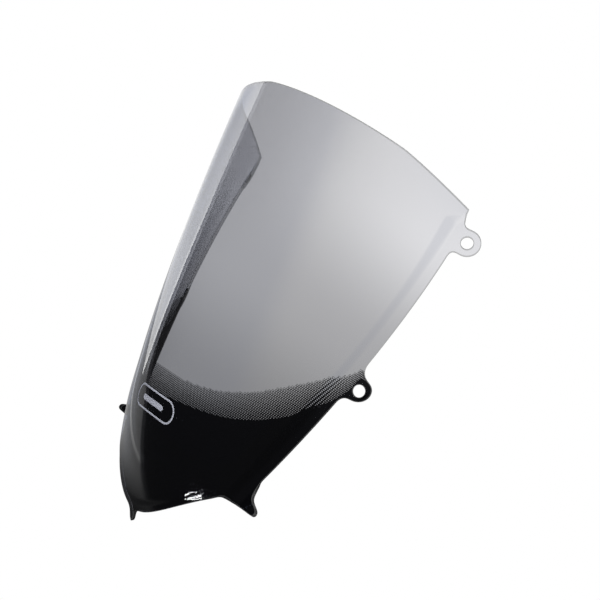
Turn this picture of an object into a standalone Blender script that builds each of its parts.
"""A one-piece motorcycle windshield screen: a smoked acrylic bubble, printed black behind its lower end.

The screen is drawn in its mould frame and then leaned back to the angle at which it is mounted.
In the mould frame, X is across the motorcycle, Y runs up the screen from its nose to its top edge,
and Z is the direction in which the sheet is drawn out of the mould. Both halves are alike, so every
piece is made for +X and mirrored.
"""

import math

import bmesh
import bpy
from mathutils import Vector

MM = 0.001

# The sheet, the layers printed behind it, and the lean at which it is mounted
SHEET_THICKNESS = 3 * MM
PRINT_THICKNESS = 0.3 * MM
EMBLEM_DEPTH = 3.4 * MM  # from the sheet's outer face
MASK_DEPTH = 4.0 * MM
PRINT_GAP = 0.3 * MM
PRINT_INSET = 1 * MM  # the print stops this far inside the sheet's edge
LEAN = math.radians(50)

# The line along which the sides meet the fairing
RIM_HEIGHT = -3 * MM
RIM_HALF_WIDTH = 156.5 * MM
RIM_WIDEST_Y = 265 * MM
RIM_TAPER = 40 * MM
RIM_TAPER_LENGTH = 218 * MM
RIM_TAPER_POWER = 1.8
CORNER_HALF_WIDTH = 154.3 * MM

# The bubble: a straight crown that rolls down to the nose, and one section swept along it
CROWN_BEND_Y = 30 * MM
CROWN_BEND_HEIGHT = 57.5 * MM
CROWN_SLOPE = 0.24
NOSE_Y = -59 * MM
NOSE_ROLL = 22.6 * MM  # how far the nose end lies below the straight crown
NOSE_ROLL_POWER = 1.4
SECTION_RADIUS = 141.6 * MM
SECTION_FLANK = math.radians(60)
SECTION_FIXED_BELOW_Y = 25 * MM

# The stepped flange along the sides, in the plane of the ears, and the one around the nose
FLANGE_ANGLE = math.radians(35)
FLANGE_WIDTH = 7 * MM  # in plan
FLANGE_STEP_WIDTH = 3 * MM
FLANGE_END_Y = 284 * MM
FLANGE_FADE = 36 * MM
NOSE_FLANGE_WIDTH = 8 * MM
NOSE_FLANGE_LEAST = 3 * MM
NOSE_FLANGE_REACH = 90 * MM
NOSE_FLANGE_DROP = 1.2 * MM
NOSE_FLANGE_STEP_WIDTH = 4.5 * MM
NOSE_FLANGE_END_X = 80 * MM

# The trimmed outline
NOSE_ROUND = 42 * MM
NOSE_SIDE_SLOPE = 0.98
NOSE_EDGE_X = (18 * MM, 94 * MM)  # the smooth stretch between the nose tab and the spike
NOSE_TAB_TIP_Y = -67 * MM
NOSE_TAB_RADIUS = 2.7 * MM
NOSE_TAB_SIDE = Vector((3.4, -63.5)) * MM
NOSE_TAB_CORNER = Vector((4.2, -59)) * MM
NOSE_TAB_END_X = 12 * MM
SPIKE_ROOT_Y = -3.6 * MM
SPIKE_START = Vector((104, -2.8)) * MM
SPIKE_TIP = Vector((122.4, 0.9)) * MM
SPIKE_TIP_RADIUS = 2.9 * MM
SPIKE_TIP_TURN = math.radians(160)
SPIKE_BACK = Vector((114, 6.9)) * MM
SPIKE_CORNER = Vector((105.5, 9)) * MM
SPIKE_END_Y = 23 * MM
SPIKE_FLARE = -0.12  # the spike turns back up to the fairing line
SPIKE_FADE = (8 * MM, 30 * MM)
TOP_Y = 309 * MM
TOP_FALL = 0.0425
TOP_WING_X = 118 * MM
TOP_WING_LENGTH = 36 * MM
TOP_WING_DROP = 10 * MM
TOP_WING_POWER = 1.3

# Ears: their hole's place up the screen, outer radius, and the fillets below and above them
EAR_REACH = 8.2 * MM  # from the rim to the hole's centre, in the flange's plane
EAR_HOLE_RADIUS = 5 * MM
EARS = {
    "lower": {"y": 125 * MM, "radius": 9.6 * MM, "below": 6 * MM, "above": 12 * MM, "land": 0},
    "upper": {"y": 268 * MM, "radius": 11.2 * MM, "below": 4 * MM, "above": 5 * MM, "land": -1.8 * MM},
}

# The straight-run stretches of the rim, below each ear
LOWER_RIM_Y = (32 * MM, 102 * MM)
UPPER_RIM_Y = (152 * MM, 246 * MM)

# The print ends on two curves: place on the centre line, rise, the reach over which it rises, and limit
MASK_TOP = (38 * MM, 72 * MM, 136 * MM, 107 * MM)
BAND_TOP = (58 * MM, 81 * MM, 140 * MM, 150 * MM)

# The emblem: a long oval ring around a bar
EMBLEM_Y = 28 * MM
EMBLEM_RING = (66 * MM, 20 * MM)
EMBLEM_LINE = 1.6 * MM
EMBLEM_BAR = (36 * MM, 4.8 * MM)

# How finely the sheet is drawn, and how far it is drawn past its outline before it is trimmed
BUBBLE_COLUMNS = 12
BUBBLE_ROWS = 20
PAST_CENTRE = 3 * MM
PAST_RIM = 30 * MM
PAST_EDGE = 14 * MM
NOSE_FLANGE_ROWS_END = 12 * MM
CUTTER_REACH = 260 * MM
CUTTER_INNER_X = -120 * MM  # the cutters' straight sides, clear of the half sheet
CUTTER_OUTER_X = 200 * MM
CUTTER_LOW_Y = -100 * MM
HOLE_CUTTER_LENGTH = 20 * MM
ARC_STEP = math.radians(15)


def smooth_step(value):
    value = min(1, max(0, value))
    return value * value * (3 - 2 * value)


# The shape of the mould


def rim_half_width(y):
    """Half the width across the sides, at the fairing line. It is straight beside an ear."""

    def curve(y):
        along = abs(RIM_WIDEST_Y - y) / RIM_TAPER_LENGTH
        return RIM_HALF_WIDTH - RIM_TAPER * along**RIM_TAPER_POWER

    for ear in EARS.values():
        if abs(y - ear["y"]) < 1.3 * ear["radius"]:
            slope = (curve(ear["y"] + MM) - curve(ear["y"] - MM)) / (2 * MM)
            return curve(ear["y"]) + slope * (y - ear["y"])
    return curve(y)


def crown_height(y):
    """Height of the bubble on the centre line."""
    straight = CROWN_BEND_HEIGHT + CROWN_SLOPE * (y - CROWN_BEND_Y)
    below = max(0, CROWN_BEND_Y - y) / (CROWN_BEND_Y - NOSE_Y)
    return straight - NOSE_ROLL * below**NOSE_ROLL_POWER


def section_drop(x):
    """How far the section falls away from the centre line: an arc that runs into a straight flank."""
    on_arc = min(abs(x), SECTION_RADIUS * math.sin(SECTION_FLANK))
    drop = SECTION_RADIUS - math.sqrt(SECTION_RADIUS**2 - on_arc**2)
    return drop + (abs(x) - on_arc) * math.tan(SECTION_FLANK)


def bubble_height(x, y):
    """The bubble without its flanges, its section stretched to meet the rim."""
    fitted = max(y, SECTION_FIXED_BELOW_Y)
    stretch = (crown_height(fitted) - RIM_HEIGHT) / section_drop(rim_half_width(fitted))
    return crown_height(y) - stretch * section_drop(x)


def flange_height(x, y):
    """The flat flange, the ears, and the spikes, which turn up out of it."""
    past_rim = x - rim_half_width(y)
    slope = math.tan(FLANGE_ANGLE)
    if past_rim > 0:
        low, high = SPIKE_FADE
        slope += (SPIKE_FLARE - slope) * (1 - smooth_step((y - low) / (high - low)))
    return RIM_HEIGHT - past_rim * slope


def nose_edge(x):
    """The bottom edge in plan, as far as the spikes."""
    edge = NOSE_Y + NOSE_SIDE_SLOPE * (math.hypot(x, NOSE_ROUND) - NOSE_ROUND)
    return min(edge, SPIKE_ROOT_Y)


def nose_flange_width(x):
    width = NOSE_FLANGE_WIDTH * (1 - (x / NOSE_FLANGE_REACH) ** 2)
    return max(width, NOSE_FLANGE_LEAST)


def top_edge(x):
    """The top edge in plan: nearly straight, falling away over the wings."""
    wing = max(0, abs(x) - TOP_WING_X) / TOP_WING_LENGTH
    return TOP_Y - TOP_FALL * abs(x) - TOP_WING_DROP * wing**TOP_WING_POWER


def mould_height(x, y):
    """Height of the sheet's outer face."""
    x = abs(x)
    width = FLANGE_WIDTH * smooth_step((FLANGE_END_Y - y) / FLANGE_FADE)
    inside_rim = x - rim_half_width(y) + width
    onto_flange = smooth_step(inside_rim / FLANGE_STEP_WIDTH + 0.5)
    height = bubble_height(x, y)
    height += (flange_height(x, y) - height) * onto_flange
    past_flange = y - nose_edge(x) - nose_flange_width(x)
    step = 1 - smooth_step(past_flange / NOSE_FLANGE_STEP_WIDTH + 0.5)
    step *= 1 - smooth_step((x - NOSE_FLANGE_END_X) / (10 * MM))
    return height - NOSE_FLANGE_DROP * step


def mould_normal(x, y):
    near = 0.5 * MM
    across = (mould_height(x + near, y) - mould_height(x - near, y)) / (2 * near)
    along = (mould_height(x, y + near) - mould_height(x, y - near)) / (2 * near)
    return Vector((-across, -along, 1)).normalized()


# The grid that the sheet is formed from


def grid_columns():
    """Each column's share of the bubble's width, and its distance past that."""
    edge = -FLANGE_WIDTH - FLANGE_STEP_WIDTH
    bubble = [((i - 0.5) / BUBBLE_COLUMNS, edge) for i in range(BUBBLE_COLUMNS + 1)]
    step = [(1, -FLANGE_WIDTH + FLANGE_STEP_WIDTH * part) for part in (-1, -0.4, 0, 0.4)]
    flange = [(1, -3 * MM), (1, 0), (1, 10 * MM), (1, 20 * MM), (1, PAST_RIM)]
    return bubble + step + flange


def grid_rows():
    """Each row's distance above the bottom edge on the centre line."""
    flange = [-PAST_EDGE, -5 * MM, 0, 5 * MM, 6.8 * MM, 8 * MM, 9.2 * MM, NOSE_FLANGE_ROWS_END]
    first, last = 20 * MM, TOP_Y - NOSE_Y
    bubble = [first + (last - first) * i / BUBBLE_ROWS for i in range(BUBBLE_ROWS + 1)]
    return flange + bubble + [last + PAST_EDGE]


def row_place(x, row):
    """Rows below the first bubble row follow the nose flange; the others spread up to the top edge."""
    scale = nose_flange_width(x) / NOSE_FLANGE_WIDTH
    if row <= NOSE_FLANGE_ROWS_END:
        return nose_edge(x) + row * (scale if row > 0 else 1)
    start = nose_edge(x) + NOSE_FLANGE_ROWS_END * scale
    share = (row - NOSE_FLANGE_ROWS_END) / (TOP_Y - NOSE_Y - NOSE_FLANGE_ROWS_END)
    return start + (top_edge(x) - start) * share


def grid_place(column, row):
    """A column's place depends on the row's and the other way round, so both are worked out together."""
    share, offset = column
    x = 0
    for _ in range(20):
        y = row_place(abs(x), row)
        x = share * (rim_half_width(y) + offset)
    return x, y


def add_object(name, data, collection, parent):
    item = bpy.data.objects.new(name, data)
    collection.objects.link(item)
    item.parent = parent
    return item


def formed_layer(name, depth, thickness, collection, parent):
    """Half of the mould's shape as a closed layer, whose outer face lies at a depth in the sheet."""
    columns, rows = grid_columns(), grid_rows()
    last_column, last_row = len(columns) - 1, len(rows) - 1
    bm = bmesh.new()
    bmesh.ops.create_grid(bm, x_segments=last_column, y_segments=last_row, size=1)
    for vertex in bm.verts:
        column = columns[round((vertex.co.x + 1) / 2 * last_column)]
        row = rows[round((vertex.co.y + 1) / 2 * last_row)]
        x, y = grid_place(column, row)
        vertex.co = Vector((x, y, mould_height(x, y))) - depth * mould_normal(x, y)
    mesh = bpy.data.meshes.new(name)
    bm.to_mesh(mesh)
    bm.free()
    layer = add_object(name, mesh, collection, parent)
    solidify = layer.modifiers.new("Thickness", "SOLIDIFY")
    solidify.thickness = thickness
    solidify.offset = -1
    solidify.use_even_offset = True
    return layer


def boolean(item, cutter, operation):
    modifier = item.modifiers.new(cutter.name, "BOOLEAN")
    modifier.object = cutter
    modifier.operation = operation
    modifier.solver = "EXACT"


def mirror(item):
    modifier = item.modifiers.new("Both halves", "MIRROR")
    modifier.use_bisect_axis[0] = True
    modifier.merge_threshold = 0.01 * MM


# The outlines that trim it, drawn in the plane of the flange: across it, and up the screen


def flange_plane(x, y, z):
    return Vector((x * math.cos(FLANGE_ANGLE) - z * math.sin(FLANGE_ANGLE), y))


def on_mould(x, y):
    return flange_plane(x, y, mould_height(x, y))


def on_flange(past_rim, y):
    return flange_plane(rim_half_width(y), y, RIM_HEIGHT) + Vector((past_rim, 0))


def arc(centre, radius, start, end):
    steps = max(2, math.ceil(abs(end - start) / ARC_STEP))
    angles = [start + (end - start) * i / steps for i in range(steps + 1)]
    return [centre + radius * Vector((math.cos(a), math.sin(a))) for a in angles]


def bend(start, corner, end, steps=5):
    """A smooth turn from start to end, which would meet at the corner."""
    points = []
    for i in range(steps + 1):
        t = i / steps
        points.append(start * (1 - t) ** 2 + corner * 2 * t * (1 - t) + end * t**2)
    return points


def spread(start, end, count):
    return [start + (end - start) * i / (count - 1) for i in range(count)]


def nose_tab(inset):
    radius = NOSE_TAB_RADIUS - inset
    plan = arc(Vector((0, NOSE_TAB_TIP_Y)), radius, -math.pi / 2 - ARC_STEP / 2, 0)
    side = NOSE_TAB_SIDE + Vector((-inset, 0))
    corner = NOSE_TAB_CORNER + Vector((-inset, inset))
    end = Vector((NOSE_TAB_END_X, nose_edge(NOSE_TAB_END_X) + inset))
    plan += bend(side, corner, end)
    return [on_mould(*point) for point in plan]


def spike(inset):
    """From the bottom edge out around the spike's tip and back to the rim."""
    start_angle = -math.pi / 2
    plan = [SPIKE_START + Vector((0, inset))]
    plan += arc(SPIKE_TIP, SPIKE_TIP_RADIUS - inset, start_angle, start_angle + SPIKE_TIP_TURN)
    back = SPIKE_BACK + Vector((0, -inset))
    corner = SPIKE_CORNER + Vector((-inset, -inset))
    end = Vector((rim_half_width(SPIKE_END_Y) - inset * math.cos(FLANGE_ANGLE), SPIKE_END_Y))
    plan += bend(back, corner, end, 7)
    return [on_mould(*point) for point in plan]


def fillet(ear, side, size, land, radius):
    """The hollow between an ear and the rim: its centre, and the angle at which it meets the ear."""
    centre_t = land + size
    along = math.sqrt((radius + size) ** 2 - (EAR_REACH - centre_t) ** 2)
    centre = Vector((centre_t, ear["y"] + side * along))
    to_ear = Vector((EAR_REACH, ear["y"])) - centre
    return centre, math.atan2(to_ear.y, to_ear.x)


def ear_outline(ear, inset):
    """Up the screen: out of the rim, round the ear and back, as distances past the rim."""
    radius = ear["radius"] - inset
    ear_centre = Vector((EAR_REACH, ear["y"]))
    low_size, high_size = ear["below"] + inset, ear["above"] + inset
    low, low_angle = fillet(ear, -1, low_size, -inset, radius)
    high, high_angle = fillet(ear, 1, high_size, ear["land"] - inset, radius)
    points = arc(low, low_size, math.pi, low_angle)
    points += arc(ear_centre, radius, low_angle - math.pi, high_angle + math.pi)[1:-1]
    points += arc(high, high_size, high_angle, -math.pi)
    return [on_flange(*point) for point in points]


def outline(inset=0):
    """The trimmed edge of the half sheet, closed on the side that the mirror makes."""
    points = [Vector((CUTTER_INNER_X, NOSE_TAB_TIP_Y - NOSE_TAB_RADIUS + inset))]
    points += nose_tab(inset)
    points += [on_mould(x, nose_edge(x) + inset) for x in spread(*NOSE_EDGE_X, 12)]
    points += spike(inset)
    points += [on_flange(-inset, y) for y in spread(*LOWER_RIM_Y, 6)]
    points += ear_outline(EARS["lower"], inset)
    points += [on_flange(-inset, y) for y in spread(*UPPER_RIM_Y, 7)]
    points += ear_outline(EARS["upper"], inset)
    top = spread(CORNER_HALF_WIDTH - inset, -PAST_CENTRE, 16)
    points += [on_mould(x, top_edge(x) - inset) for x in top]
    points += [Vector((CUTTER_INNER_X, points[-1].y))]
    return points


def print_line(x, curve):
    centre, rise, reach, limit = curve
    return min(centre + rise * (abs(x) / reach) ** 3, limit)


def below_line(curve, raised=0):
    """Everything below one of the print's curves."""
    across = spread(CORNER_HALF_WIDTH, -PAST_CENTRE, 18)
    line = [on_mould(x, print_line(x, curve) + raised) for x in across]
    points = [Vector((CUTTER_INNER_X, CUTTER_LOW_Y)), Vector((CUTTER_OUTER_X, CUTTER_LOW_Y))]
    points += [Vector((CUTTER_OUTER_X, line[0].y)), *line]
    points += [Vector((CUTTER_INNER_X, line[-1].y))]
    return points


def oval(length, height):
    half = height / 2
    centre = Vector((length / 2 - half, EMBLEM_Y))
    right = arc(centre, half, -math.pi / 2, math.pi / 2)
    left = arc(Vector((-centre.x, EMBLEM_Y)), half, math.pi / 2, 1.5 * math.pi)
    return right + left


def prism(name, outlines, collection, parent, angle):
    """A closed cutter: outlines drawn in a plane turned about Y, and carried through along its normal."""
    curve = bpy.data.curves.new(name, "CURVE")
    curve.dimensions = "2D"
    curve.fill_mode = "BOTH"
    curve.extrude = CUTTER_REACH
    for points in outlines:
        spline = curve.splines.new("POLY")
        spline.points.add(len(points) - 1)
        for target, point in zip(spline.points, points):
            target.co = (point.x, point.y, 0, 1)
        spline.use_cyclic_u = True
    drawn = add_object(name + "_curve", curve, collection, None)
    bpy.context.view_layer.update()
    mesh = bpy.data.meshes.new_from_object(drawn.evaluated_get(bpy.context.evaluated_depsgraph_get()))
    bpy.data.objects.remove(drawn)
    bm = bmesh.new()
    bm.from_mesh(mesh)
    bmesh.ops.remove_doubles(bm, verts=bm.verts, dist=0.001 * MM)
    bmesh.ops.recalc_face_normals(bm, faces=bm.faces)
    bm.to_mesh(mesh)
    bm.free()
    cutter = add_object(name, mesh, collection, parent)
    cutter.rotation_euler = (0, angle, 0)
    return hide_cutter(cutter)


def hide_cutter(cutter):
    cutter.hide_render = True
    cutter.display_type = "WIRE"
    return cutter


def ear_place(ear):
    """The centre of the ear's hole on its outer face, and the outward normal there."""
    slope = (rim_half_width(ear["y"] + MM) - rim_half_width(ear["y"] - MM)) / (2 * MM)
    outward = Vector((math.cos(FLANGE_ANGLE), 0, -math.sin(FLANGE_ANGLE)))
    centre = Vector((rim_half_width(ear["y"]), ear["y"], RIM_HEIGHT)) + EAR_REACH * outward
    return centre, outward.cross(Vector((slope, 1, 0))).normalized()


def hole_cutter(name, ear, clearance, collection, parent):
    centre, normal = ear_place(ear)
    mesh = bpy.data.meshes.new(name)
    bm = bmesh.new()
    radius = EAR_HOLE_RADIUS + clearance
    bmesh.ops.create_cone(
        bm, cap_ends=True, segments=24, radius1=radius, radius2=radius, depth=HOLE_CUTTER_LENGTH
    )
    bm.to_mesh(mesh)
    bm.free()
    cutter = add_object(name, mesh, collection, parent)
    cutter.location = centre
    cutter.rotation_euler = normal.to_track_quat("Z", "X").to_euler()
    return hide_cutter(cutter)


def material(name, colour, roughness, alpha=1):
    item = bpy.data.materials.new(name)
    item.use_nodes = True
    shader = item.node_tree.nodes["Principled BSDF"]
    shader.inputs["Base Color"].default_value = (*colour, 1)
    shader.inputs["Roughness"].default_value = roughness
    shader.inputs["Metallic"].default_value = 0
    shader.inputs["Alpha"].default_value = alpha
    return item


def finish(item, surface):
    item.data.materials.append(surface)
    item.data.shade_smooth()
    item.data.set_sharp_from_angle(angle=math.radians(30))


def add_sheet(parts, cutters, frame):
    sheet = formed_layer("screen_sheet", 0, SHEET_THICKNESS, parts, frame)
    boolean(sheet, prism("sheet_outline", [outline()], cutters, frame, FLANGE_ANGLE), "INTERSECT")
    for name, ear in EARS.items():
        boolean(sheet, hole_cutter(f"{name}_ear_hole", ear, 0, cutters, frame), "DIFFERENCE")
    mirror(sheet)
    finish(sheet, material("smoked acrylic", (0.36, 0.37, 0.38), 0.05, 0.45))


def add_print(parts, cutters, frame):
    """The solid black mask, and above it the perforated band that fades it out."""
    edge = prism("print_outline", [outline(PRINT_INSET)], cutters, frame, FLANGE_ANGLE)
    hole = hole_cutter("print_ear_hole", EARS["lower"], PRINT_INSET, cutters, frame)
    mask_area = prism("mask_area", [below_line(MASK_TOP)], cutters, frame, FLANGE_ANGLE)
    band_area = prism("band_area", [below_line(BAND_TOP)], cutters, frame, FLANGE_ANGLE)
    under_band = prism(
        "under_band", [below_line(MASK_TOP, PRINT_GAP)], cutters, frame, FLANGE_ANGLE
    )
    mask = formed_layer("black_mask", MASK_DEPTH, PRINT_THICKNESS, parts, frame)
    band = formed_layer("fade_band", MASK_DEPTH, PRINT_THICKNESS, parts, frame)
    for layer in (mask, band):
        boolean(layer, edge, "INTERSECT")
        boolean(layer, hole, "DIFFERENCE")
    boolean(mask, mask_area, "INTERSECT")
    boolean(band, band_area, "INTERSECT")
    boolean(band, under_band, "DIFFERENCE")
    mirror(mask)
    mirror(band)
    finish(mask, material("black ink", (0.008, 0.008, 0.009), 0.35))
    finish(band, material("perforated ink", (0.06, 0.06, 0.065), 0.4))


def add_emblem(parts, cutters, frame):
    length, height = EMBLEM_RING
    inner = oval(length - 2 * EMBLEM_LINE, height - 2 * EMBLEM_LINE)
    areas = {
        "emblem_ring": [oval(length, height), inner],
        "emblem_bar": [oval(*EMBLEM_BAR)],
    }
    ink = material("white ink", (0.8, 0.8, 0.8), 0.4)
    for name, outlines in areas.items():
        layer = formed_layer(name, EMBLEM_DEPTH, PRINT_THICKNESS, parts, frame)
        boolean(layer, prism(name + "_area", outlines, cutters, frame, 0), "INTERSECT")
        mirror(layer)
        finish(layer, ink)


def stand_over_origin(frame, sheet):
    """Lean the mould frame back, with the sheet's box centred on the Z axis and its foot at zero."""
    frame.rotation_euler = (LEAN, 0, 0)
    bpy.context.view_layer.update()
    evaluated = sheet.evaluated_get(bpy.context.evaluated_depsgraph_get())
    points = [evaluated.matrix_world @ vertex.co for vertex in evaluated.data.vertices]
    depth = [point.y for point in points]
    frame.location = (0, -(min(depth) + max(depth)) / 2, -min(point.z for point in points))


def collection(name):
    item = bpy.data.collections.new(name)
    bpy.context.scene.collection.children.link(item)
    return item


def build():
    for item in list(bpy.data.objects):
        bpy.data.objects.remove(item)
    parts = collection("Windshield screen")
    cutters = collection("Cutters")
    frame = add_object("mould_frame", None, parts, None)
    add_sheet(parts, cutters, frame)
    add_print(parts, cutters, frame)
    add_emblem(parts, cutters, frame)
    stand_over_origin(frame, parts.objects["screen_sheet"])


build()
